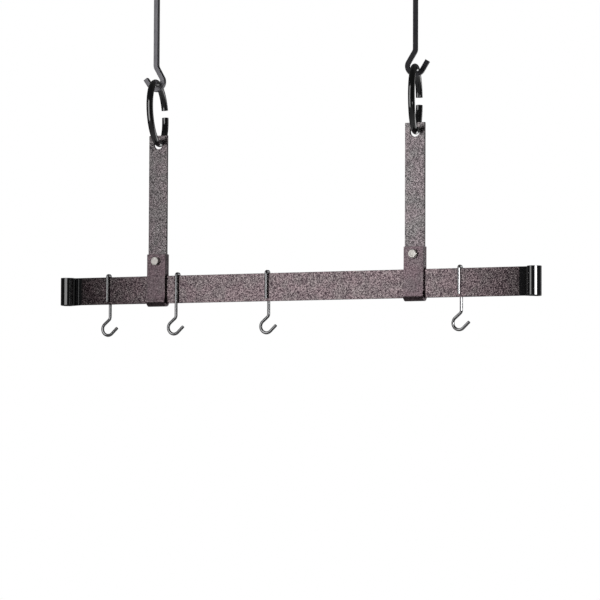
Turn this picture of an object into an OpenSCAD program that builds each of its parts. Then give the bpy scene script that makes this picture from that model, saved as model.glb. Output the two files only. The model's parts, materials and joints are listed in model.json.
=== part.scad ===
// Hanging pot rack: a flat bar with rolled ends, carried by two straps that hang
// on split rings from two long ceiling hooks. Millimetres, +Z up.
// Origin: midway between the bearing points of the two upper hooks, on the
// bar's middle plane. +X runs along the bar, -Y is the front.

/* [Bar] */
// Length of the bar over its rolled ends
bar_length = 965; // [860:5:1100]
// Height of the flat bar
bar_h = 50.8; // [38:0.2:64]
// Thickness of the flat bar
bar_t = 4.76; // [3:0.02:6.4]
// How far the bar's middle sits to the right of the ceiling hooks' middle
bar_shift = 24.5; // [-6:0.1:40]
// Outside diameter of the rolled ends
roll_d = 25.4; // [18:0.2:36]
// Where the rolled plate stops, measured round the roll from the bar's direction
roll_end_angle = 36; // [20:1:40]
// How far the back of a roll hangs below the bar's lower edge
roll_drop = 1.2; // [0:0.1:3]
// Length over which the bar's lower edge slopes down to a roll
roll_blend = 24; // [8:1:40]

/* [Hanger straps] */
// Height of a strap, foot to top
strap_h = 257; // [180:1:340]
// Width of a strap
strap_w = 38.1; // [30:0.1:50]
// Thickness of a strap
strap_t = 4.76; // [3:0.02:6.4]
// Diameter of the ring hole at the top of a strap
eye_d = 18.5; // [17:0.1:20]
// Height of the strap's top above the middle of its ring hole
eye_margin = 15.95; // [14:0.05:24]
// Gap between the foot of a strap and the top of the bar
foot_gap = 3; // [1:0.1:6]

/* [Saddles] */
// Width of a saddle
saddle_w = 38.1; // [30:0.1:50]
// Thickness of a saddle's plate
saddle_t = 4.76; // [3:0.02:6.4]
// How far the saddle's arms rise above the top of the bar
saddle_rise = 40; // [36:0.5:60]
// Inside radius of the round bend under the bar
saddle_bend_r = 5; // [4.6:0.1:8]
// Height of the flared foot of the arms, from the bar's lower edge up
saddle_flare_h = 14; // [8:0.5:20]
// Free space left between the bar and the saddle on each side
bar_clear = 0.3; // [0.2:0.05:1]

/* [Bolts] */
// Diameter of the bolts
bolt_d = 9.5; // [6:0.1:11]
// Length of a bolt under its head
bolt_l = 28.6; // [27:0.1:40]
// Height of the bolts' middle above the top of the bar
bolt_rise = 27; // [22:0.5:30]
// Width across the flats of bolt heads and nuts
hex_w = 14.3; // [13:0.1:17]
// Height of a bolt head
head_h = 6.4; // [4:0.1:8]
// Height of a nut
nut_h = 8.3; // [5:0.1:9]
// Thickness of a lock washer
washer_h = 2.4; // [1:0.1:2.6]
// Outside diameter of a lock washer
washer_d = 17.3; // [15:0.1:22]
// Extra diameter of the bolt holes
bolt_hole_clear = 0.8; // [0.4:0.1:1.5]
// Radial space between thread and nut, and between bolt and washer
thread_clear = 0.1; // [0.05:0.01:0.3]

/* [Rings] */
// Outside diameter of the split rings
ring_d = 125.5; // [110:0.5:150]
// Diameter of the round rod that the rings are bent from
ring_wire_d = 12.2; // [8:0.1:12.6]
// Width of the gap in a ring
ring_gap = 13.4; // [8:0.1:24]
// How far the gap sits above the middle of the left ring, in degrees round it
left_gap_angle = 5.2; // [-10:0.1:10]
// How far the gap sits above the middle of the right ring, in degrees round it
right_gap_angle = 2.3; // [-10:0.1:10]
// How far the left ring is turned about the vertical
left_ring_angle = 15; // [0:0.1:20]
// How far the right ring is turned about the vertical
right_ring_angle = 17.4; // [0:0.1:20]
// Free height between a ring and what bears on it
hang_clear = 2; // [1.9:0.1:3]

/* [Ceiling hooks] */
// Height from the lower to the upper bearing point
rod_h = 305; // [200:5:600]
// Distance between the two ceiling hooks
rod_spacing = 526.8; // [480:0.1:600]
// Side of the square rod
rod_a = 8.73; // [6:0.01:9.6]
// Radius of a hook's bowl, at the middle of the rod
hook_r = 14; // [12:0.5:20]
// Slant of the rod between bowl and stem
hook_slant = 30; // [20:1:40]
// Radius of the knee where the slant meets the stem
hook_knee_r = 12; // [8:1:20]
// Rise of the left hook's open tips, in degrees from level
left_tip_angle = 55; // [30:1:64]
// Rise of the right hook's open tips, in degrees from level
right_tip_angle = 60; // [30:1:64]
// Straight length of the left hook's open tips
left_tip = 17.5; // [8:0.5:24]
// Straight length of the right hook's open tips
right_tip = 19.5; // [8:0.5:24]
// How far the left ceiling hook is turned about the vertical
left_hook_angle = 2; // [0:1:20]
// How far the right ceiling hook is turned about the vertical
right_hook_angle = 18; // [0:1:20]
// How far the left strap hangs to the right of its ceiling hook
left_lean = 5.9; // [-4:0.1:8]
// How far the right strap hangs to the right of its ceiling hook
right_lean = 0.1; // [-4:0.1:8]

/* [Pot hooks] */
// Diameter of the round wire
wire_d = 5.6; // [4:0.1:6.4]
// Depth of the short leg below the top of the bar
short_leg = 46; // [20:0.5:60]
// Depth of the bowl's middle below the top of the bar
bowl_drop = 96; // [92:0.5:130]
// Radius of the bowl, at the middle of the wire
bowl_r = 11.8; // [10:0.1:16]
// How far the bowl's middle sits to the left of the long leg
bowl_offset = 4.2; // [2:0.1:8]
// Slant of the wire between the long leg and the bowl
bowl_slant = 50; // [40:1:60]
// Radius of the knee above the slant
knee_r = 6; // [5:0.5:10]
// Rise of the open tip, in degrees from level
pot_tip_angle = 43; // [30:1:60]
// Straight length of the open tip
pot_tip = 15.5; // [8:0.5:22]
// Radius of the two bends over the bar
top_bend_r = 3.4; // [3.3:0.05:4]
// Free space left between the bar and the wire
hook_clear = 0.4; // [0.3:0.05:0.8]
// Distance of the first pot hook from the bar's left end
pot_hook_1_in = 96.1; // [60:0.1:120]
// Place of the second pot hook along the bar, from the bar's middle
pot_hook_2_x = -239.9; // [-242:0.1:-180]
// Place of the third pot hook along the bar, from the bar's middle
pot_hook_3_x = -54.3; // [-90:0.1:90]
// Distance of the fourth pot hook from the bar's right end
pot_hook_4_in = 156.7; // [60:0.1:165]

/* [Hidden] */
$fn = 64;

// Heights, worked down from the upper bearing points at Z = 0
ring_r = (ring_d - ring_wire_d) / 2;
ring_top_z = -rod_h + hang_clear + ring_wire_d / 2;
ring_low_z = ring_top_z - 2 * ring_r;
eye_z = ring_low_z + ring_wire_d / 2 + hang_clear - eye_d / 2;
strap_top_z = eye_z + eye_margin;
bar_z = strap_top_z - strap_h - foot_gap;
bolt_z = bar_z + bolt_rise;

// Places along the bar
left_hook_x = -rod_spacing / 2;
right_hook_x = rod_spacing / 2;
left_strap_x = left_hook_x + left_lean;
right_strap_x = right_hook_x + right_lean;

// Plates stacked at the bolts
stack_front_y = -strap_t / 2 - saddle_t;
stack_back_y = strap_t / 2 + saddle_t;
bolt_hole_d = bolt_d + bolt_hole_clear;

// Saddle section
saddle_in_y = bar_t / 2 + bar_clear;
bend_in_r = max(saddle_bend_r, saddle_in_y + bar_clear);
bend_z = -bar_h + sqrt(pow(bend_in_r - bar_clear, 2) - pow(bar_t / 2, 2));
flare_z = -bar_h + saddle_flare_h;

// Lower hook of a ceiling rod, drawn about the rod's middle
hook_in_r = hook_r - rod_a / 2;
hook_centre = [0, -rod_h / 2 + hook_in_r];
slant_start = on_circle(hook_centre, hook_r, hook_slant);
slant_l = slant_start.x / sin(hook_slant) - hook_knee_r * tan(hook_slant / 2);
slant_end = slant_start + slant_l * [-sin(hook_slant), cos(hook_slant)];
stem_start = [0, slant_end.y + hook_knee_r * sin(hook_slant)];

// Rolled ends
roll_r = roll_d / 2;
roll_y = bar_t / 2 - roll_r;
roll_x = bar_length / 2 - roll_r;

// Bent rod swells a little in its bends, and each straight run ends inside them
bend_swell = 1.01;
run_sink = 0.2;

// Hexagon heads and nuts: their corners are turned down to a round face
face_share = 0.96;
chamfer_angle = 30;
chamfer_r = face_share * hex_w / 2;
hex_corner_d = hex_w / cos(180 / 6);

// Draws in the XZ plane at depth y; the child's thickness runs towards the front
module in_xz(y = 0)
    translate([0, y, 0]) rotate([90, 0, 0]) children();

// Draws in the YZ plane; the child's thickness runs to the right
module in_yz()
    rotate([90, 0, 90]) children();

// Stands a shape on depth y, rising towards the back
module along_y(y)
    translate([0, y, 0]) rotate([-90, 0, 0]) children();

// Straight length of the child's section between two points, set into its bends
module run(from, to)
    translate([from.x, from.y, 0])
        rotate([0, 0, atan2(to.y - from.y, to.x - from.x)])
            translate([-run_sink, 0, 0]) rotate([90, 0, 90])
                linear_extrude(norm(to - from) + 2 * run_sink) children();

// Curved length of the child's section round a centre, anticlockwise
module arc(centre, radius, from, to)
    translate([centre.x, centre.y, 0])
        rotate([0, 0, from])
            rotate_extrude(angle = to - from)
                translate([radius, 0]) children();

// Curved length that joins straight runs
module bend(centre, radius, from, to)
    arc(centre, radius, from, to) scale(bend_swell) children();

function on_circle(centre, radius, angle) =
    centre + radius * [cos(angle), sin(angle)];

// Point where the line from a point touches a circle, on the circle's left
function touch_point(point, centre, radius) =
    let(away = point - centre)
    on_circle(centre, radius, atan2(away.y, away.x) + acos(radius / norm(away)));

// Plan of the left rolled end, centred on the roll
module roll_plan() {
    reach = 2 * roll_r;
    difference() {
        circle(r = roll_r);
        circle(r = roll_r - bar_t);
        polygon([
            [0, 0], [reach, reach * tan(roll_end_angle)], [reach, reach], [0, reach]
        ]);
    }
}

// Left rolled end: its foot slants down from the front of the roll to the back
module rolled_end() {
    reach = 2 * bar_h;
    intersection() {
        translate([-roll_x, roll_y, -reach]) linear_extrude(reach) roll_plan();
        translate([-roll_x - reach / 2, 0, 0]) in_yz() linear_extrude(reach) polygon([
            [bar_t / 2, 0], [bar_t / 2 - roll_d, 0], [bar_t / 2 - roll_d, -bar_h],
            [-bar_t / 2, -bar_h - roll_drop], [bar_t / 2, -bar_h - roll_drop]
        ]);
    }
}

// Flat stretch between the rolls
module flat_bar() {
    blend_x = roll_x - roll_blend;
    in_xz(bar_t / 2) linear_extrude(bar_t) polygon([
        [-roll_x, 0], [roll_x, 0], [roll_x, -bar_h - roll_drop], [blend_x, -bar_h],
        [-blend_x, -bar_h], [-roll_x, -bar_h - roll_drop]
    ]);
}

module bar() {
    color("#6e6568") translate([bar_shift, 0, bar_z]) {
        flat_bar();
        rolled_end();
        mirror([1, 0, 0]) rolled_end();
    }
}

module strap(x) {
    color("#787173") translate([x, 0, 0]) in_xz(strap_t / 2)
        linear_extrude(strap_t) difference() {
            translate([-strap_w / 2, strap_top_z - strap_h]) square([strap_w, strap_h]);
            translate([0, eye_z]) circle(d = eye_d);
            translate([0, bolt_z]) circle(d = bolt_hole_d);
        }
}

// Filled outline of a saddle: arms, flared foot and round bend
module saddle_outline(arm_y, pinch_y, radius) {
    corner = [-arm_y, flare_z];
    touch = touch_point(corner, [0, bend_z], radius);
    polygon([
        [-pinch_y, saddle_rise], [-pinch_y, foot_gap], [-arm_y, 0], corner, touch,
        [-touch.x, touch.y], [arm_y, flare_z], [arm_y, 0], [pinch_y, foot_gap],
        [pinch_y, saddle_rise]
    ]);
    translate([0, bend_z]) circle(r = radius);
}

// The arms pinch the strap above the bar and stay clear of the bar below it
module saddle(x) {
    color("#645a5e") translate([x, 0, bar_z]) difference() {
        translate([-saddle_w / 2, 0, 0]) in_yz() linear_extrude(saddle_w)
            difference() {
                saddle_outline(saddle_in_y + saddle_t, strap_t / 2 + saddle_t,
                               bend_in_r + saddle_t);
                saddle_outline(saddle_in_y, strap_t / 2, bend_in_r);
            }
        translate([0, 0, bolt_rise]) along_y(2 * stack_front_y)
            cylinder(d = bolt_hole_d, h = -4 * stack_front_y);
    }
}

// Hexagon with its top corners chamfered
module hex_blank(height)
    intersection() {
        cylinder(d = hex_corner_d, h = height, $fn = 6);
        cylinder(r1 = chamfer_r + height / tan(chamfer_angle), r2 = chamfer_r, h = height);
    }

module bolt(x) {
    color("#c8c6c2") translate([x, 0, bolt_z]) {
        mirror([0, 1, 0]) along_y(-stack_front_y) hex_blank(head_h);
        along_y(stack_front_y) cylinder(d = bolt_d, h = bolt_l);
    }
}

module lock_washer(x) {
    bore_d = bolt_d + 2 * thread_clear;
    slit = washer_h / 2;
    color("#b4b2ae") translate([x, 0, bolt_z]) along_y(stack_back_y)
        linear_extrude(washer_h) difference() {
            circle(d = washer_d);
            circle(d = bore_d);
            translate([0, -slit / 2]) square([washer_d, slit]);
        }
}

module nut(x) {
    color("#bdbbb7") translate([x, 0, bolt_z]) along_y(stack_back_y + washer_h)
        difference() {
            hex_blank(nut_h);
            translate([0, 0, -nut_h])
                cylinder(d = bolt_d + 2 * thread_clear, h = 3 * nut_h);
        }
}

// A ring hangs between a ceiling hook and a strap that is lean to the hook's right
module split_ring(hook_x, lean, turn, gap_angle) {
    tilt = asin(lean / (2 * ring_r));
    half_gap = asin(ring_gap / (2 * ring_r));
    middle_z = ring_top_z - ring_r * cos(tilt);
    color("#1c1c1e") translate([hook_x + lean / 2, 0, middle_z])
        rotate([0, -tilt, 0]) rotate([0, 0, turn]) in_yz()
            arc([0, 0], ring_r, gap_angle + half_gap, gap_angle + 360 - half_gap)
                circle(d = ring_wire_d);
}

// Lower bowl, slant and knee of a ceiling hook, drawn about the rod's middle
module half_hook(tip_angle, tip_l) {
    tip_start = on_circle(hook_centre, hook_r, 270 - tip_angle);
    tip_end = tip_start + tip_l * [-cos(tip_angle), sin(tip_angle)];
    bend(stem_start + [hook_knee_r, 0], hook_knee_r, 180, 180 + hook_slant)
        square(rod_a, center = true);
    run(slant_start, slant_end) square(rod_a, center = true);
    bend(hook_centre, hook_r, 270 - tip_angle, 360 + hook_slant)
        square(rod_a, center = true);
    run(tip_start, tip_end) square(rod_a, center = true);
}

// Ceiling hook with a bowl at each end, the upper one facing the other way.
// The lower bowl opens to the left, or to the right where mirrored is true.
module ceiling_hook(x, turn, tip_angle, tip_l, mirrored = false)
    color("#5a585a") translate([x, 0, -rod_h / 2]) rotate([0, 0, turn])
        mirror([mirrored ? 1 : 0, 0, 0]) in_xz() {
            run(stem_start, -stem_start) square(rod_a, center = true);
            for (half_turn = [0, 180]) rotate([0, 0, half_turn]) half_hook(tip_angle, tip_l);
        }

// Pot hook: square bend over the bar, bowl in the bar's direction below it
module pot_hook_form() {
    leg_y = bar_t / 2 + hook_clear + wire_d / 2;
    top_z = hook_clear + wire_d / 2;
    shoulder = [leg_y - top_bend_r, top_z - top_bend_r];
    bowl = [-bowl_offset, -bowl_drop];
    bowl_start = on_circle(bowl, bowl_r, 180 - bowl_slant);
    slant_l = -bowl_start.x / sin(bowl_slant) - knee_r * tan(bowl_slant / 2);
    slant_end = bowl_start + slant_l * [sin(bowl_slant), cos(bowl_slant)];
    knee_z = slant_end.y + knee_r * sin(bowl_slant);
    tip_start = on_circle(bowl, bowl_r, 270 + pot_tip_angle);
    tip_end = tip_start + pot_tip * [cos(pot_tip_angle), sin(pot_tip_angle)];
    in_yz() {
        run([-leg_y, -short_leg], [-leg_y, shoulder.y]) circle(d = wire_d);
        bend([-shoulder.x, shoulder.y], top_bend_r, 90, 180) circle(d = wire_d);
        run([-shoulder.x, top_z], [shoulder.x, top_z]) circle(d = wire_d);
        bend(shoulder, top_bend_r, 0, 90) circle(d = wire_d);
        run([leg_y, knee_z], [leg_y, shoulder.y]) circle(d = wire_d);
    }
    in_xz(leg_y) {
        bend([-knee_r, knee_z], knee_r, -bowl_slant, 0) circle(d = wire_d);
        run(bowl_start, slant_end) circle(d = wire_d);
        bend(bowl, bowl_r, 180 - bowl_slant, 270 + pot_tip_angle) circle(d = wire_d);
        run(tip_start, tip_end) circle(d = wire_d);
    }
}

// The long leg hangs behind the bar, or in front of it where front is true
module pot_hook(x, front = false)
    color("#4a484a") translate([bar_shift + x, 0, bar_z])
        mirror([0, front ? 1 : 0, 0]) pot_hook_form();

bar();
strap(left_strap_x);  // left_strap
strap(right_strap_x);  // right_strap
saddle(left_strap_x);  // left_saddle
saddle(right_strap_x);  // right_saddle
bolt(left_strap_x);  // left_bolt
bolt(right_strap_x);  // right_bolt
lock_washer(left_strap_x);  // left_lock_washer
lock_washer(right_strap_x);  // right_lock_washer
nut(left_strap_x);  // left_nut
nut(right_strap_x);  // right_nut
split_ring(left_hook_x, left_lean, left_ring_angle, left_gap_angle);  // left_ring
split_ring(right_hook_x, right_lean, right_ring_angle, right_gap_angle);  // right_ring
ceiling_hook(left_hook_x, left_hook_angle, left_tip_angle, left_tip);  // left_ceiling_hook
ceiling_hook(right_hook_x, right_hook_angle, right_tip_angle, right_tip, mirrored = true);  // right_ceiling_hook
pot_hook(pot_hook_1_in - bar_length / 2);  // pot_hook_1
pot_hook(pot_hook_2_x, front = true);  // pot_hook_2
pot_hook(pot_hook_3_x);  // pot_hook_3
pot_hook(bar_length / 2 - pot_hook_4_in);  // pot_hook_4
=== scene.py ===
import json
import math

import bmesh
import bpy
from mathutils import Matrix, Vector


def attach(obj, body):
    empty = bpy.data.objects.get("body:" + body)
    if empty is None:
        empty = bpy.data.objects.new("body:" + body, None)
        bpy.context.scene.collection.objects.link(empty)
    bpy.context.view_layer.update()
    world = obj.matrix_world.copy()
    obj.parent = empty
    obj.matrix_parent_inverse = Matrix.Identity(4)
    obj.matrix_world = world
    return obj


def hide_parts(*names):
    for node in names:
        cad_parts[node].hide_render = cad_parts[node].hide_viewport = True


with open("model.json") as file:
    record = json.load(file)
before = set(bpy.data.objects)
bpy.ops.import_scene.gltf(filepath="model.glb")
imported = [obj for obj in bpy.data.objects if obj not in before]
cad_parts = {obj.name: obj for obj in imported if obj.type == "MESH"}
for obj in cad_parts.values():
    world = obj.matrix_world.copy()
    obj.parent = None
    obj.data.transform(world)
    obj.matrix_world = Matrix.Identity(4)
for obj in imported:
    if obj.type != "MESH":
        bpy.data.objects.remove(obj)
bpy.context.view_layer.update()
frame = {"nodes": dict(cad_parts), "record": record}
mm = 0.001
sideX, frontY, upZ = Vector((1, 0, 0)), Vector((0, -1, 0)), Vector((0, 0, 1))
white = (1, 1, 1, 1)


# Camera, from the photo's perspective: from the right, a little below the bar
cameraSettings = {
    "place": (2.3932, -4.6676, -0.9775),
    "turnLeft": 26.79,  # degrees
    "tiltUp": 2.98,
    "roll": 0.25,
    "focalPixels": 2911.1,
    "imageWidth": 600,
    "sensor": 36.0,
    "clip": (0.05, 60),
}


def makeCamera(s):
    data = bpy.data.cameras.new("photoCamera")
    data.sensor_width = s["sensor"]
    data.lens = s["focalPixels"] / s["imageWidth"] * s["sensor"]
    data.clip_start, data.clip_end = s["clip"]
    camera = bpy.data.objects.new("photoCamera", data)
    bpy.context.scene.collection.objects.link(camera)
    camera.matrix_world = (
        Matrix.Translation(s["place"])
        @ Matrix.Rotation(math.radians(s["turnLeft"]), 4, "Z")
        @ Matrix.Rotation(math.radians(90 + s["tiltUp"]), 4, "X")
        @ Matrix.Rotation(math.radians(s["roll"]), 4, "Z")
    )
    bpy.context.scene.camera = camera


makeCamera(cameraSettings)
print("camera done")


# Shared shader helpers; a value given to a socket is either a constant or another socket
def newMaterial(name):
    material = bpy.data.materials.new(name)
    material.use_nodes = True
    tree = material.node_tree
    return material, tree, tree.nodes["Principled BSDF"]


def addNode(tree, kind, inputs=None, **settings):
    node = tree.nodes.new(kind)
    for key, value in settings.items():
        setattr(node, key, value)
    for key, value in (inputs or {}).items():
        if isinstance(value, bpy.types.NodeSocket):
            tree.links.new(value, node.inputs[key])
        else:
            node.inputs[key].default_value = value
    return node


def addMath(tree, operation, first, second, clamp=False):
    return addNode(tree, "ShaderNodeMath", {0: first, 1: second},
                   operation=operation, use_clamp=clamp).outputs[0]


def addMix(tree, factor, first, second, blend="MIX"):
    return addNode(tree, "ShaderNodeMix", {0: factor, 6: first, 7: second},
                   data_type="RGBA", blend_type=blend).outputs[2]


def newGroup(name, inputs, outputs):
    group = bpy.data.node_groups.new(name, "ShaderNodeTree")
    for label, kind in inputs:
        group.interface.new_socket(label, in_out="INPUT", socket_type=kind)
    for label, kind in outputs:
        group.interface.new_socket(label, in_out="OUTPUT", socket_type=kind)
    return group, group.nodes.new("NodeGroupInput"), group.nodes.new("NodeGroupOutput")


def useGroup(tree, group, inputs):
    return addNode(tree, "ShaderNodeGroup", inputs, node_tree=group).outputs


def addBump(tree, shader, height, depth):
    bump = addNode(tree, "ShaderNodeBump",
                   {"Height": height, "Distance": depth * mm, "Strength": 1.0})
    tree.links.new(bump.outputs["Normal"], shader.inputs["Normal"])


# Hammertone enamel: round cells of metal flake, each of its own brightness, in a dark binder
flakeSettings = {
    "warpDetail": 2.0, "warp": 0.0016,  # metres
    "grainScale": 1.6, "grainDetail": 3.0, "grainRoughness": 0.65, "grainGain": 1.1,
    "domeReach": 0.75, "chanceShare": 0.9, "domeShare": 0.7, "middle": 0.71, "base": 0.4,
    "domeHeight": 0.8, "grainHeight": 0.4,
}


def makeFlakeGroup(s):
    group, given, result = newGroup(
        "flakeCells",
        [("Vector", "NodeSocketVector"), ("Cell Size", "NodeSocketFloat"),  # millimetres
         ("Dark", "NodeSocketColor"), ("Light", "NodeSocketColor"),
         ("Contrast", "NodeSocketFloat")],
        [("Color", "NodeSocketColor"), ("Height", "NodeSocketFloat")],
    )
    vector = given.outputs["Vector"]
    scale = addMath(group, "DIVIDE", 1 / mm, given.outputs["Cell Size"])
    warp = addNode(group, "ShaderNodeTexNoise",
                   {"Vector": vector, "Scale": scale, "Detail": s["warpDetail"]})
    pushed = addNode(group, "ShaderNodeVectorMath",
                     {0: warp.outputs["Color"], 1: (s["warp"],) * 3}, operation="MULTIPLY")
    place = addNode(group, "ShaderNodeVectorMath",
                    {0: vector, 1: pushed.outputs[0]}, operation="ADD")
    cells = addNode(group, "ShaderNodeTexVoronoi", {"Vector": place.outputs[0], "Scale": scale})
    chance = addNode(group, "ShaderNodeSeparateXYZ",
                     {"Vector": cells.outputs["Color"]}).outputs["X"]
    grainScale = addMath(group, "MULTIPLY", scale, s["grainScale"])
    grain = addNode(group, "ShaderNodeTexNoise",
                    {"Vector": vector, "Scale": grainScale, "Detail": s["grainDetail"],
                     "Roughness": s["grainRoughness"]}).outputs["Fac"]
    domes = addMath(group, "SUBTRACT", s["domeReach"], cells.outputs["Distance"], clamp=True)
    speckle = addMath(group, "MULTIPLY", addMath(group, "SUBTRACT", grain, 0.5), s["grainGain"])
    flake = addMath(group, "ADD", addMath(group, "MULTIPLY", chance, s["chanceShare"]),
                    addMath(group, "MULTIPLY", domes, s["domeShare"]))
    offset = addMath(group, "SUBTRACT", addMath(group, "ADD", flake, speckle), s["middle"])
    spread = addMath(group, "MULTIPLY", offset, given.outputs["Contrast"])
    mask = addMath(group, "ADD", spread, s["base"], clamp=True)
    color = addMix(group, mask, given.outputs["Dark"], given.outputs["Light"])
    height = addMath(group, "ADD", addMath(group, "MULTIPLY", domes, s["domeHeight"]),
                     addMath(group, "MULTIPLY", grain, s["grainHeight"]))
    group.links.new(color, result.inputs["Color"])
    group.links.new(height, result.inputs["Height"])
    return group


# Slow change of tone over a large surface, as between two sprayed passes
toneSettings = {"detail": 3.0, "roughness": 0.5, "from": 0.36, "to": 0.64}


def makeToneGroup(s):
    group, given, result = newGroup(
        "sprayTone",
        [("Vector", "NodeSocketVector"), ("Color", "NodeSocketColor"),
         ("Tone A", "NodeSocketColor"), ("Tone B", "NodeSocketColor"),
         ("Patch Size", "NodeSocketFloat")],  # millimetres
        [("Color", "NodeSocketColor")],
    )
    scale = addMath(group, "DIVIDE", 1 / mm, given.outputs["Patch Size"])
    slow = addNode(group, "ShaderNodeTexNoise",
                   {"Vector": given.outputs["Vector"], "Scale": scale, "Detail": s["detail"],
                    "Roughness": s["roughness"]})
    patch = addNode(group, "ShaderNodeMapRange",
                    {"Value": slow.outputs["Fac"], "From Min": s["from"], "From Max": s["to"]},
                    interpolation_type="SMOOTHSTEP")
    tone = addMix(group, patch.outputs["Result"], given.outputs["Tone A"],
                  given.outputs["Tone B"])
    color = addMix(group, 1.0, given.outputs["Color"], tone, "MULTIPLY")
    group.links.new(color, result.inputs["Color"])
    return group


# Orange peel of a sprayed gloss coat, with a little handling haze in its roughness
peelSettings = {"detail": 1.5, "hazeScale": 38.0, "hazeDetail": 6.0, "hazeRoughness": 0.7}


def makePeelGroup(s):
    group, given, result = newGroup(
        "coatPeel",
        [("Vector", "NodeSocketVector"), ("Peel Size", "NodeSocketFloat"),  # millimetres
         ("Roughness", "NodeSocketFloat"), ("Haze", "NodeSocketFloat")],
        [("Height", "NodeSocketFloat"), ("Roughness", "NodeSocketFloat")],
    )
    vector = given.outputs["Vector"]
    scale = addMath(group, "DIVIDE", 1 / mm, given.outputs["Peel Size"])
    peel = addNode(group, "ShaderNodeTexNoise",
                   {"Vector": vector, "Scale": scale, "Detail": s["detail"]})
    haze = addNode(group, "ShaderNodeTexNoise",
                   {"Vector": vector, "Scale": s["hazeScale"], "Detail": s["hazeDetail"],
                    "Roughness": s["hazeRoughness"]})
    amount = addMath(group, "MULTIPLY", haze.outputs["Fac"], given.outputs["Haze"])
    rough = addMath(group, "ADD", given.outputs["Roughness"], amount)
    group.links.new(peel.outputs["Fac"], result.inputs["Height"])
    group.links.new(rough, result.inputs["Roughness"])
    return group


flakeGroup = makeFlakeGroup(flakeSettings)
toneGroup = makeToneGroup(toneSettings)
peelGroup = makePeelGroup(peelSettings)
glossBlack = (0.006, 0.006, 0.007, 1)
enamelIor, enamelSpecular = 1.65, 1.0


# Hammered enamel of bar, straps and saddles
hammeredSettings = {
    "bar": {"cell": 1.45, "dark": (0.024, 0.012, 0.018, 1), "light": (0.35, 0.287, 0.292, 1),
            "contrast": 1.15, "depth": 0.08, "roughness": 0.12},
    "strap": {"cell": 1.2, "dark": (0.03, 0.024, 0.027, 1), "light": (0.43, 0.383, 0.39, 1),
              "contrast": 1.15, "depth": 0.07, "roughness": 0.22},
    "saddle": {"cell": 1.2, "dark": (0.06, 0.039, 0.048, 1), "light": (0.31, 0.245, 0.26, 1),
               "contrast": 1.1, "depth": 0.06, "roughness": 0.26},
    "toneA": (1.0, 0.95, 0.97, 1), "toneB": (0.93, 0.97, 0.95, 1), "patch": 26.0,
    "peel": 3.0, "haze": 0.08, "metal": 0.9,
    "glossRoughness": 0.07, "glossBump": 0.15, "raggedScale": 420.0, "raggedReach": 2.0,
}


def makeHammered(name, which, ends=None):
    shared, s = hammeredSettings, hammeredSettings[which]
    material, tree, shader = newMaterial(name)
    place = addNode(tree, "ShaderNodeTexCoord").outputs["Object"]
    flake = useGroup(tree, flakeGroup,
                     {"Vector": place, "Cell Size": s["cell"], "Dark": s["dark"],
                      "Light": s["light"], "Contrast": s["contrast"]})
    toned = useGroup(tree, toneGroup,
                     {"Vector": place, "Color": flake["Color"], "Patch Size": shared["patch"],
                      "Tone A": shared["toneA"], "Tone B": shared["toneB"]})
    peel = useGroup(tree, peelGroup,
                    {"Vector": place, "Peel Size": shared["peel"],
                     "Roughness": s["roughness"], "Haze": shared["haze"]})
    color, height, rough = toned["Color"], flake["Height"], peel["Roughness"]
    if ends:  # smooth gloss black near the rolls: where it ends and how raggedly, each side; past the left roll it reaches further and fades softly, which is painted shadow of that roll
        x = addNode(tree, "ShaderNodeSeparateXYZ", {"Vector": place}).outputs["X"]
        ragged = addNode(tree, "ShaderNodeTexNoise",
                         {"Vector": place, "Scale": shared["raggedScale"]})
        lean = addMath(tree, "SUBTRACT", ragged.outputs["Fac"], 0.5)
        reach = addMath(tree, "MULTIPLY", lean, shared["raggedReach"])
        glossAndRollShadow = 0.0
        for edge, soft, outward in ends:
            past = addMath(tree, "MULTIPLY", addMath(tree, "SUBTRACT", x, edge), outward / soft)
            glossAndRollShadow = addMath(tree, "MAXIMUM", glossAndRollShadow, addMath(tree, "ADD", past, reach, clamp=True))
        # painted shadow: past the left roll this gloss black also darkens the plate where that
        # roll's shadow falls
        color = addMix(tree, glossAndRollShadow, color, glossBlack)
        keep = addMath(tree, "SUBTRACT", 1.0, glossAndRollShadow)
        bumpShare = addMath(tree, "ADD", shared["glossBump"],
                            addMath(tree, "MULTIPLY", keep, 1 - shared["glossBump"]))
        height = addMath(tree, "MULTIPLY", height, bumpShare)
        rough = addMath(tree, "ADD", addMath(tree, "MULTIPLY", rough, keep),
                        addMath(tree, "MULTIPLY", glossAndRollShadow, shared["glossRoughness"]))
        tree.links.new(addMath(tree, "MULTIPLY", keep, shared["metal"]),
                       shader.inputs["Metallic"])
    else:
        shader.inputs["Metallic"].default_value = shared["metal"]
    tree.links.new(color, shader.inputs["Base Color"])
    tree.links.new(rough, shader.inputs["Roughness"])
    shader.inputs["IOR"].default_value = enamelIor
    shader.inputs["Specular IOR Level"].default_value = enamelSpecular
    addBump(tree, shader, height, s["depth"])
    return material


# Even coats: the enamel of rings, rods and wire, and the zinc of the fastenings
coatSettings = {
    "ring": {"color": glossBlack, "tone": (0.8, 0.8, 0.85, 1), "patch": 14.0, "peel": 2.2,
             "roughness": 0.12, "haze": 0.06, "depth": 0.008, "metal": 0.0, "clear": 1.0},
    "rod": {"color": (0.15, 0.145, 0.16, 1), "tone": (0.8, 0.8, 0.83, 1), "patch": 14.0,
            "peel": 2.2, "roughness": 0.34, "haze": 0.08, "depth": 0.02, "metal": 0.5,
            "clear": 0.0},
    "wire": {"color": (0.36, 0.36, 0.365, 1), "tone": (0.9, 0.9, 0.91, 1), "patch": 14.0,
             "peel": 2.2, "roughness": 0.15, "haze": 0.03, "depth": 0.012, "metal": 0.85,
             "clear": 0.0},
    "zinc": {"color": (0.8, 0.77, 0.73, 1), "tone": (0.82, 0.81, 0.8, 1), "patch": 5.0,
             "peel": 0.8, "roughness": 0.3, "haze": 0.14, "depth": 0.03, "metal": 0.45},
    "clearRoughness": 0.06,
}


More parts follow.
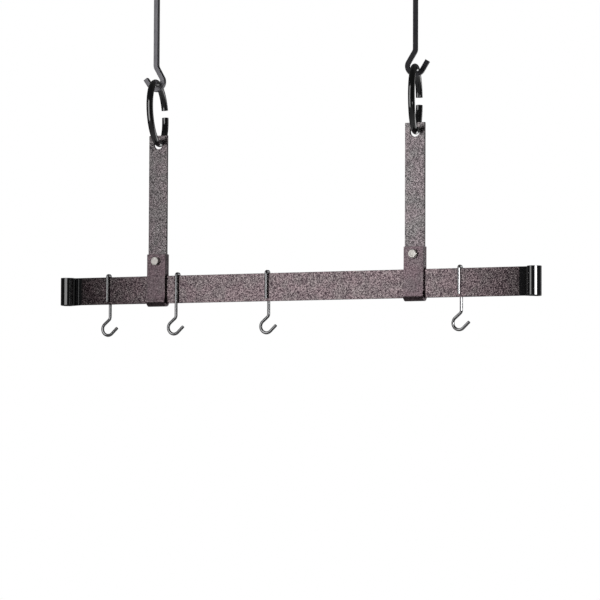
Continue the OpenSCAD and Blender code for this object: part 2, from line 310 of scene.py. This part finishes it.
def makeCoat(name, s):
    material, tree, shader = newMaterial(name)
    place = addNode(tree, "ShaderNodeTexCoord").outputs["Object"]
    toned = useGroup(tree, toneGroup,
                     {"Vector": place, "Color": s["color"], "Patch Size": s["patch"],
                      "Tone A": white, "Tone B": s["tone"]})
    peel = useGroup(tree, peelGroup,
                    {"Vector": place, "Peel Size": s["peel"], "Roughness": s["roughness"],
                     "Haze": s["haze"]})
    tree.links.new(toned["Color"], shader.inputs["Base Color"])
    tree.links.new(peel["Roughness"], shader.inputs["Roughness"])
    shader.inputs["Metallic"].default_value = s["metal"]
    if "clear" in s:
        shader.inputs["Coat Weight"].default_value = s["clear"]
        shader.inputs["Coat Roughness"].default_value = coatSettings["clearRoughness"]
        shader.inputs["IOR"].default_value = enamelIor
        shader.inputs["Specular IOR Level"].default_value = enamelSpecular
    addBump(tree, shader, peel["Height"], s["depth"])
    return material


# Shared shape helpers
smoothBelow = 40  # degrees; steeper edges are shaded sharp


def newPiece(bm, name, node, material):
    bmesh.ops.recalc_face_normals(bm, faces=bm.faces)
    mesh = bpy.data.meshes.new(name)
    bm.to_mesh(mesh)
    bm.free()
    mesh.shade_smooth()
    mesh.set_sharp_from_angle(angle=math.radians(smoothBelow))
    mesh.materials.append(material)
    piece = bpy.data.objects.new(name, mesh)
    bpy.context.scene.collection.objects.link(piece)
    even = piece.modifiers.new("evenShading", "WEIGHTED_NORMAL")
    even.keep_sharp = True
    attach(piece, bodyOf(node))
    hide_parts(node)
    return piece


def bodyOf(node):
    bodies = frame["record"]["behaviour"]["bodies"]
    return next(body for body, members in bodies.items() if node in members)


def sharpEdges(bm, degrees):
    limit = math.radians(degrees)
    return [e for e in bm.edges if len(e.link_faces) == 2 and e.calc_face_angle(0) > limit]


def bevelEdges(bm, edges, width, segments):
    bmesh.ops.bevel(bm, geom=edges, offset=width * mm, offset_type="OFFSET", affect="EDGES",
                    segments=segments, profile=0.5, material=-1, clamp_overlap=True)


def only(kind, geom):
    return [g for g in geom if isinstance(g, kind)]


# Bar: flat plate, both ends rolled forward
barSettings = {
    "length": 965.0, "height": 50.8, "thickness": 4.76, "top": -655.4, "middleX": 24.5,
    "rollDiameter": 25.4, "rollArc": 306, "rollEndAngle": 36, "rollDrop": 1.2,
    "rollBlend": 24.0, "rollSteps": 44, "sharpAngle": 50, "arris": 0.55, "arrisSegments": 3,
    "seam": 0.1,  # how far in front of the back face still counts as flat plate
    "glossAndRollShadow": {"left": 16.0, "leftShadowFade": 4.0, "right": 19.0, "rightSoft": 1.0},  # past the rolls; the left zone is longer and softer, as painted shadow of the left roll
}


def makeBar(s, material):
    bm = bmesh.new()
    rollR = s["rollDiameter"] / 2
    backY = s["thickness"] / 2
    centreY = backY - rollR
    rollX = s["length"] / 2 - rollR
    start = math.radians(s["rollEndAngle"])
    foot = Vector((-rollX + rollR * math.cos(start), centreY + rollR * math.sin(start),
                   -s["height"])) * mm
    low = bm.verts.new(foot)
    high = bm.verts.new(foot + upZ * s["height"] * mm)
    edge = bm.edges.new((low, high))
    arc = math.radians(s["rollArc"])

    def roll(geom, x):
        return bmesh.ops.spin(bm, geom=geom, cent=Vector((x, centreY, 0)) * mm, axis=upZ,
                              angle=-arc, steps=s["rollSteps"], use_merge=False)["geom_last"]

    made = roll([low, high, edge], -rollX)
    level = rollX - s["rollBlend"]
    for length in (s["rollBlend"], 2 * level, s["rollBlend"]):
        pulled = bmesh.ops.extrude_edge_only(bm, edges=only(bmesh.types.BMEdge, made))["geom"]
        verts = only(bmesh.types.BMVert, pulled)
        bmesh.ops.translate(bm, vec=sideX * length * mm, verts=verts)
        made = verts + [e for e in only(bmesh.types.BMEdge, pulled)
                        if all(v in verts for v in e.verts)]
    roll(made, rollX)
    bmesh.ops.recalc_face_normals(bm, faces=bm.faces)
    backFace = max(bm.faces, key=lambda f: f.calc_area())
    if backFace.normal.y < 0:
        bmesh.ops.reverse_faces(bm, faces=bm.faces)
    bmesh.ops.solidify(bm, geom=bm.faces, thickness=s["thickness"] * mm)
    bmesh.ops.recalc_face_normals(bm, faces=bm.faces)
    depth = s["rollDiameter"] - s["thickness"]
    for v in bm.verts:  # the lower edge slopes down to the back of each roll
        x, y, z = v.co / mm
        if z < -s["height"] / 2:
            if y > -backY - s["seam"] and abs(x) < rollX:
                share = (abs(x) - level) / s["rollBlend"]
            else:
                share = 1 - max(0.0, -y - backY) / depth
            v.co.z -= s["rollDrop"] * max(0.0, share) * mm
    bevelEdges(bm, sharpEdges(bm, s["sharpAngle"]), s["arris"], s["arrisSegments"])
    bmesh.ops.translate(bm, vec=Vector((s["middleX"], 0, s["top"])) * mm, verts=bm.verts)
    return newPiece(bm, "barPlate", "bar", material)


# Pieces that keep the frame's own shape get eased arrises
easedSettings = {
    "weld": 0.002, "flatAngle": 0.6, "sharpAngle": 28,
    "parts": {  # by the ending of the node's name
        "strap": {"name": "Strap", "slot": "hammered_steel", "arris": 0.6, "segments": 3},
        "saddle": {"name": "Saddle", "slot": "saddle_paint", "arris": 0.7, "segments": 3},
        "bolt": {"name": "Bolt", "slot": "zinc", "arris": 0.35, "segments": 2},
        "lock_washer": {"name": "LockWasher", "slot": "zinc", "arris": 0.3, "segments": 2},
        "nut": {"name": "Nut", "slot": "zinc", "arris": 0.3, "segments": 2},
    },
}


def makeEased(side, ending, s, material):
    part, node = s["parts"][ending], side + "_" + ending
    bm = bmesh.new()
    bm.from_mesh(frame["nodes"][node].data)
    bmesh.ops.remove_doubles(bm, verts=bm.verts, dist=s["weld"] * mm)
    bmesh.ops.dissolve_limit(bm, angle_limit=math.radians(s["flatAngle"]), verts=bm.verts,
                             edges=bm.edges)
    bmesh.ops.recalc_face_normals(bm, faces=bm.faces)
    bevelEdges(bm, sharpEdges(bm, s["sharpAngle"]), part["arris"], part["segments"])
    return newPiece(bm, side + part["name"], node, material)


# A rod is its section, pushed straight and turned round bends
rodSettings = {
    "capCorners": 8,  # only an end cap has more corners than this
    "cutSegments": 2,
}


def bendRod(bm, face, at, heading, side, steps, stepAngle):
    at, heading, side = Vector(at) * mm, Vector(heading), Vector(side)
    for kind, *values in steps:
        if kind == "go":
            made = bmesh.ops.extrude_face_region(bm, geom=[face])["geom"]
            step = heading * values[0] * mm
            bmesh.ops.translate(bm, vec=step, verts=only(bmesh.types.BMVert, made))
            face = only(bmesh.types.BMFace, made)[0]
            at = at + step
        elif kind == "twist":
            side = Matrix.Rotation(math.radians(values[0]), 3, heading) @ side
        else:  # "turn": radius, and degrees, positive towards the side
            radius, degrees = values
            toward = side * math.copysign(1, degrees)
            axis = heading.cross(toward)
            centre = at + toward * radius * mm
            made = bmesh.ops.spin(bm, geom=[face], cent=centre, axis=axis, use_merge=False,
                                  angle=math.radians(abs(degrees)),
                                  steps=max(2, round(abs(degrees) / stepAngle)))["geom_last"]
            face = only(bmesh.types.BMFace, made)[0]
            turn = Matrix.Rotation(math.radians(abs(degrees)), 3, axis)
            at = centre + turn @ (at - centre)
            heading, side = turn @ heading, turn @ side


def sectionPlace(at, heading, side):
    across = Vector(heading).cross(Vector(side))
    place = Matrix((Vector(side), across, Vector(heading))).transposed().to_4x4()
    place.translation = Vector(at) * mm
    return place


def roundSection(bm, place, diameter, segments):
    bmesh.ops.create_circle(bm, cap_ends=True, segments=segments, radius=diameter / 2 * mm,
                            matrix=place)
    return next(iter(bm.faces))


def squareSection(bm, place, width, corner, cornerSegments):
    quarter = Matrix.Rotation(math.radians(45), 4, "Z")
    made = bmesh.ops.create_circle(bm, cap_ends=True, segments=4,
                                   radius=width / math.sqrt(2) * mm, matrix=place @ quarter)
    bmesh.ops.bevel(bm, geom=made["verts"], offset=corner * mm, offset_type="OFFSET",
                    affect="VERTICES", segments=cornerSegments, profile=0.5, material=-1)
    return next(iter(bm.faces))


def roundEnds(bm, width):
    caps = [f for f in bm.faces if len(f.verts) > rodSettings["capCorners"]]
    edges = dict.fromkeys(e for f in caps for e in f.edges)  # each once
    bevelEdges(bm, list(edges), width, rodSettings["cutSegments"])


# Split rings, hanging between hook and strap
ringSettings = {
    "outer": 125.5, "wire": 12.2, "gap": 13.4, "topZ": -296.9, "cutEdge": 0.5,
    "segments": 32, "stepAngle": 2.5,
    "left": {"hookX": -263.4, "lean": 5.9, "turn": 15.0, "gapAngle": 5.2},
    "right": {"hookX": 263.4, "lean": 0.1, "turn": 17.4, "gapAngle": 2.3},
}


def makeRing(side, s, material):
    hang = s[side]
    r = (s["outer"] - s["wire"]) / 2
    halfGap = math.degrees(math.asin(s["gap"] / 2 / r))
    tilt = math.asin(hang["lean"] / (2 * r))
    first = math.radians(hang["gapAngle"] + halfGap)
    at = Vector((0, r * math.cos(first), r * math.sin(first)))
    heading = Vector((0, -math.sin(first), math.cos(first)))
    inward = -at.normalized()
    bm = bmesh.new()
    face = roundSection(bm, sectionPlace(at, heading, inward), s["wire"], s["segments"])
    bendRod(bm, face, at, heading, inward, [("turn", r, 360 - 2 * halfGap)], s["stepAngle"])
    roundEnds(bm, s["cutEdge"])
    middle = Vector((hang["hookX"] + hang["lean"] / 2, 0, s["topZ"] - r * math.cos(tilt))) * mm
    bm.transform(Matrix.Translation(middle) @ Matrix.Rotation(-tilt, 4, "Y")
                 @ Matrix.Rotation(math.radians(hang["turn"]), 4, "Z"))
    return newPiece(bm, side + "SplitRing", side + "_ring", material)


# Ceiling hooks of square rod
ceilingHookSettings = {
    "height": 305.0, "rod": 8.73, "corner": 0.9, "cornerSegments": 4, "bowl": 14.0,
    "slant": 30.0, "knee": 12.0, "cutEdge": 0.4, "stepAngle": 5,
    "left": {"x": -263.4, "turn": 2.0, "mirrored": False, "tipRise": 55.0, "tip": 17.5},
    "right": {"x": 263.4, "turn": 18.0, "mirrored": True, "tipRise": 60.0, "tip": 19.5},
}


def makeCeilingHook(side, s, material):
    place = s[side]
    slant, rise = math.radians(s["slant"]), math.radians(place["tipRise"])
    bowlZ = -s["height"] + s["bowl"] - s["rod"] / 2
    # the slant runs from the bowl to the knee, whose far end is on the rod's middle line
    slantLength = s["bowl"] / math.tan(slant) - s["knee"] * math.tan(slant / 2)
    kneeTop = (bowlZ + s["bowl"] * math.sin(slant) + slantLength * math.cos(slant)
               + s["knee"] * math.sin(slant))
    stem = -s["height"] - 2 * kneeTop
    heading = Vector((math.cos(rise), 0, -math.sin(rise)))
    inward = Vector((math.sin(rise), 0, math.cos(rise)))
    at = Vector((0, 0, bowlZ)) - inward * s["bowl"] - heading * place["tip"]
    lower = [("go", place["tip"]), ("turn", s["bowl"], place["tipRise"] + 90 + s["slant"]),
             ("go", slantLength), ("turn", s["knee"], -s["slant"])]
    upper = [(kind, *sizes[:-1], -sizes[-1]) if kind == "turn" else (kind, *sizes)
             for kind, *sizes in reversed(lower)]
    bm = bmesh.new()
    face = squareSection(bm, sectionPlace(at, heading, inward), s["rod"], s["corner"],
                         s["cornerSegments"])
    bendRod(bm, face, at, heading, inward, lower + [("go", stem)] + upper, s["stepAngle"])
    roundEnds(bm, s["cutEdge"])
    mirror = Matrix.Scale(-1 if place["mirrored"] else 1, 4, sideX)
    bm.transform(Matrix.Translation(Vector((place["x"], 0, 0)) * mm)
                 @ Matrix.Rotation(math.radians(place["turn"]), 4, "Z") @ mirror)
    return newPiece(bm, side + "CeilingHook", side + "_ceiling_hook", material)


# Pot hooks of round wire
potHookSettings = {
    "wire": 5.6, "shortLeg": 46.0, "bowlDrop": 96.0, "bowl": 11.8, "bowlOffset": 4.2,
    "slant": 50.0, "knee": 6.0, "tipRise": 43.0, "tip": 15.5, "topBend": 3.4,
    "clearance": 0.4, "cutEdge": 0.5, "segments": 24, "stepAngle": 6,
    "places": {  # along the bar, and whether the long leg hangs in front
        "pot_hook_1": (-386.4, False), "pot_hook_2": (-239.9, True),
        "pot_hook_3": (-54.3, False), "pot_hook_4": (325.8, False),
    },
}


def makePotHook(node, s, bar, material):
    x, front = s["places"][node]
    legY = bar["thickness"] / 2 + s["clearance"] + s["wire"] / 2
    topZ = s["clearance"] + s["wire"] / 2
    slant = math.radians(s["slant"])
    bowlStart = Vector((-s["bowlOffset"] - s["bowl"] * math.cos(slant), 0,
                        -s["bowlDrop"] + s["bowl"] * math.sin(slant)))
    slantLength = -bowlStart.x / math.sin(slant) - s["knee"] * math.tan(slant / 2)
    kneeZ = bowlStart.z + slantLength * math.cos(slant) + s["knee"] * math.sin(slant)
    at = Vector((0, -legY, -s["shortLeg"]))
    side = -frontY
    steps = [("go", s["shortLeg"] + topZ - s["topBend"]), ("turn", s["topBend"], 90),
             ("go", 2 * (legY - s["topBend"])), ("turn", s["topBend"], 90),
             ("go", topZ - s["topBend"] - kneeZ), ("twist", 90),
             ("turn", s["knee"], s["slant"]), ("go", slantLength),
             ("turn", s["bowl"], -(s["slant"] + 90 + s["tipRise"])), ("go", s["tip"])]
    bm = bmesh.new()
    face = roundSection(bm, sectionPlace(at, upZ, side), s["wire"], s["segments"])
    bendRod(bm, face, at, upZ, side, steps, s["stepAngle"])
    roundEnds(bm, s["cutEdge"])
    if front:
        bm.transform(Matrix.Scale(-1, 4, frontY))
    bm.transform(Matrix.Translation(Vector((bar["middleX"] + x, 0, bar["top"])) * mm))
    return newPiece(bm, node.replace("pot_hook_", "potHook"), node, material)


def makePieces():
    b = barSettings
    glossAndRollShadow, rolledTo = b["glossAndRollShadow"], b["length"] / 2 - b["rollDiameter"]
    # the left zone's length and soft fade paint the left roll's shadow on the plate
    ends = [((b["middleX"] - rolledTo + glossAndRollShadow["left"]) * mm, glossAndRollShadow["leftShadowFade"] * mm, -1),
            ((b["middleX"] + rolledTo - glossAndRollShadow["right"]) * mm, glossAndRollShadow["rightSoft"] * mm, 1)]
    barFinish = makeHammered("hammeredBar", "bar", ends)
    strapFinish = makeHammered("hammeredStrap", "strap")
    saddleFinish = makeHammered("hammeredSaddle", "saddle")
    ringFinish = makeCoat("glossBlack", coatSettings["ring"])
    rodFinish = makeCoat("satinRod", coatSettings["rod"])
    wireFinish = makeCoat("satinWire", coatSettings["wire"])
    zinc = makeCoat("zincPlate", coatSettings["zinc"])
    easedFinishes = {"strap": strapFinish, "saddle": saddleFinish, "bolt": zinc,
                     "lock_washer": zinc, "nut": zinc}
    print("materials done")
    makeBar(b, barFinish)
    for side in ("left", "right"):
        for ending, finish in easedFinishes.items():
            makeEased(side, ending, easedSettings, finish)
        makeRing(side, ringSettings, ringFinish)
        makeCeilingHook(side, ceilingHookSettings, rodFinish)
    for node in potHookSettings["places"]:
        makePotHook(node, potHookSettings, b, wireFinish)
    print("pieces done")


makePieces()


# Studio: a softbox at the left front, a small strip at the right, two lamps behind that light
# the sides and the back, and a white backdrop
studioSettings = {
    "lamps": {  # size: width, height; spread in degrees
        "softbox": {"place": (-0.46, -1.05, -0.25), "aim": (-0.46, 0.0, -0.25),
                    "size": (0.84, 1.4), "watts": 6.7, "spread": 180},
        "rightStrip": {"place": (0.849, -0.363, -0.645), "aim": (0.496, -0.01, -0.68),
                       "size": (0.3, 0.22), "watts": 0.3, "spread": 54},
        "backBox": {"place": (1.1, 1.5, -0.3), "aim": (0.1, 0.0, -0.6), "size": (0.7, 1.2),
                    "watts": 1.6, "spread": 180},
        "backLow": {"place": (0.9, 2.6, -1.3), "aim": (0.0, 0.0, -0.6), "size": (3.0, 1.2),
                    "watts": 13.0, "spread": 180},
    },
    "fill": 0.03,  # light of the dark room on the object
    "glossyBackdrop": 0.05,  # how bright polished faces show the backdrop
    "backdropFrom": -0.1, "backdropTo": 0.5,  # how far behind, where that begins and is full
    "floorZ": -2.4,
    "floorSize": 7.0,
    "floorColor": (0.85, 0.85, 0.85, 1),
    "floorRoughness": 0.8,
    "floorGlow": 0.92,
    "floorGloss": 0.07,  # how bright polished faces show the floor
}


def makeLamp(name, s):
    data = bpy.data.lights.new(name, "AREA")
    data.shape, data.energy = "RECTANGLE", s["watts"]
    data.size, data.size_y = s["size"]
    data.spread = math.radians(s["spread"])
    lamp = bpy.data.objects.new(name, data)
    bpy.context.scene.collection.objects.link(lamp)
    lamp.location = s["place"]
    lamp.rotation_euler = (lamp.location - Vector(s["aim"])).to_track_quat("Z", "Y").to_euler()
    lamp.visible_camera = False


def makeWorld(s):
    world = bpy.data.worlds.new("studioWorld")
    bpy.context.scene.world = world
    world.use_nodes = True
    tree = world.node_tree
    tree.nodes.clear()
    rays = addNode(tree, "ShaderNodeLightPath").outputs
    look = addNode(tree, "ShaderNodeTexCoord").outputs["Generated"]
    y = addNode(tree, "ShaderNodeSeparateXYZ", {"Vector": look}).outputs["Y"]
    behind = addNode(tree, "ShaderNodeMapRange",
                     {"Value": y, "From Min": s["backdropFrom"], "From Max": s["backdropTo"]},
                     interpolation_type="SMOOTHSTEP").outputs["Result"]
    mirrored = addMath(tree, "MULTIPLY",
                       addMath(tree, "MULTIPLY", behind, rays["Is Glossy Ray"]),
                       s["glossyBackdrop"])
    seen = addMath(tree, "MAXIMUM", rays["Is Camera Ray"], rays["Is Transmission Ray"])
    strength = addMath(tree, "MAXIMUM", addMath(tree, "MAXIMUM", seen, mirrored), s["fill"])
    light = addNode(tree, "ShaderNodeBackground", {"Color": white, "Strength": strength})
    out = addNode(tree, "ShaderNodeOutputWorld")
    tree.links.new(light.outputs[0], out.inputs["Surface"])


def makeFloor(s):
    bm = bmesh.new()
    bmesh.ops.create_grid(bm, x_segments=1, y_segments=1, size=s["floorSize"] / 2)
    bmesh.ops.translate(bm, vec=upZ * s["floorZ"], verts=bm.verts)
    mesh = bpy.data.meshes.new("floor")
    bm.to_mesh(mesh)
    bm.free()
    floor = bpy.data.objects.new("floor", mesh)
    bpy.context.scene.collection.objects.link(floor)
    material, tree, shader = newMaterial("paleFloor")
    shader.inputs["Base Color"].default_value = s["floorColor"]
    shader.inputs["Roughness"].default_value = s["floorRoughness"]
    rays = addNode(tree, "ShaderNodeLightPath").outputs
    glow = addMath(tree, "ADD", addMath(tree, "MULTIPLY", rays["Is Camera Ray"], s["floorGlow"]),
                   addMath(tree, "MULTIPLY", rays["Is Glossy Ray"], s["floorGloss"]))
    shader.inputs["Emission Color"].default_value = white
    tree.links.new(glow, shader.inputs["Emission Strength"])
    mesh.materials.append(material)


for lampName, lampSettings in studioSettings["lamps"].items():
    makeLamp(lampName, lampSettings)
makeWorld(studioSettings)
makeFloor(studioSettings)
bpy.context.scene.view_settings.view_transform = "Standard"
print("studio done")
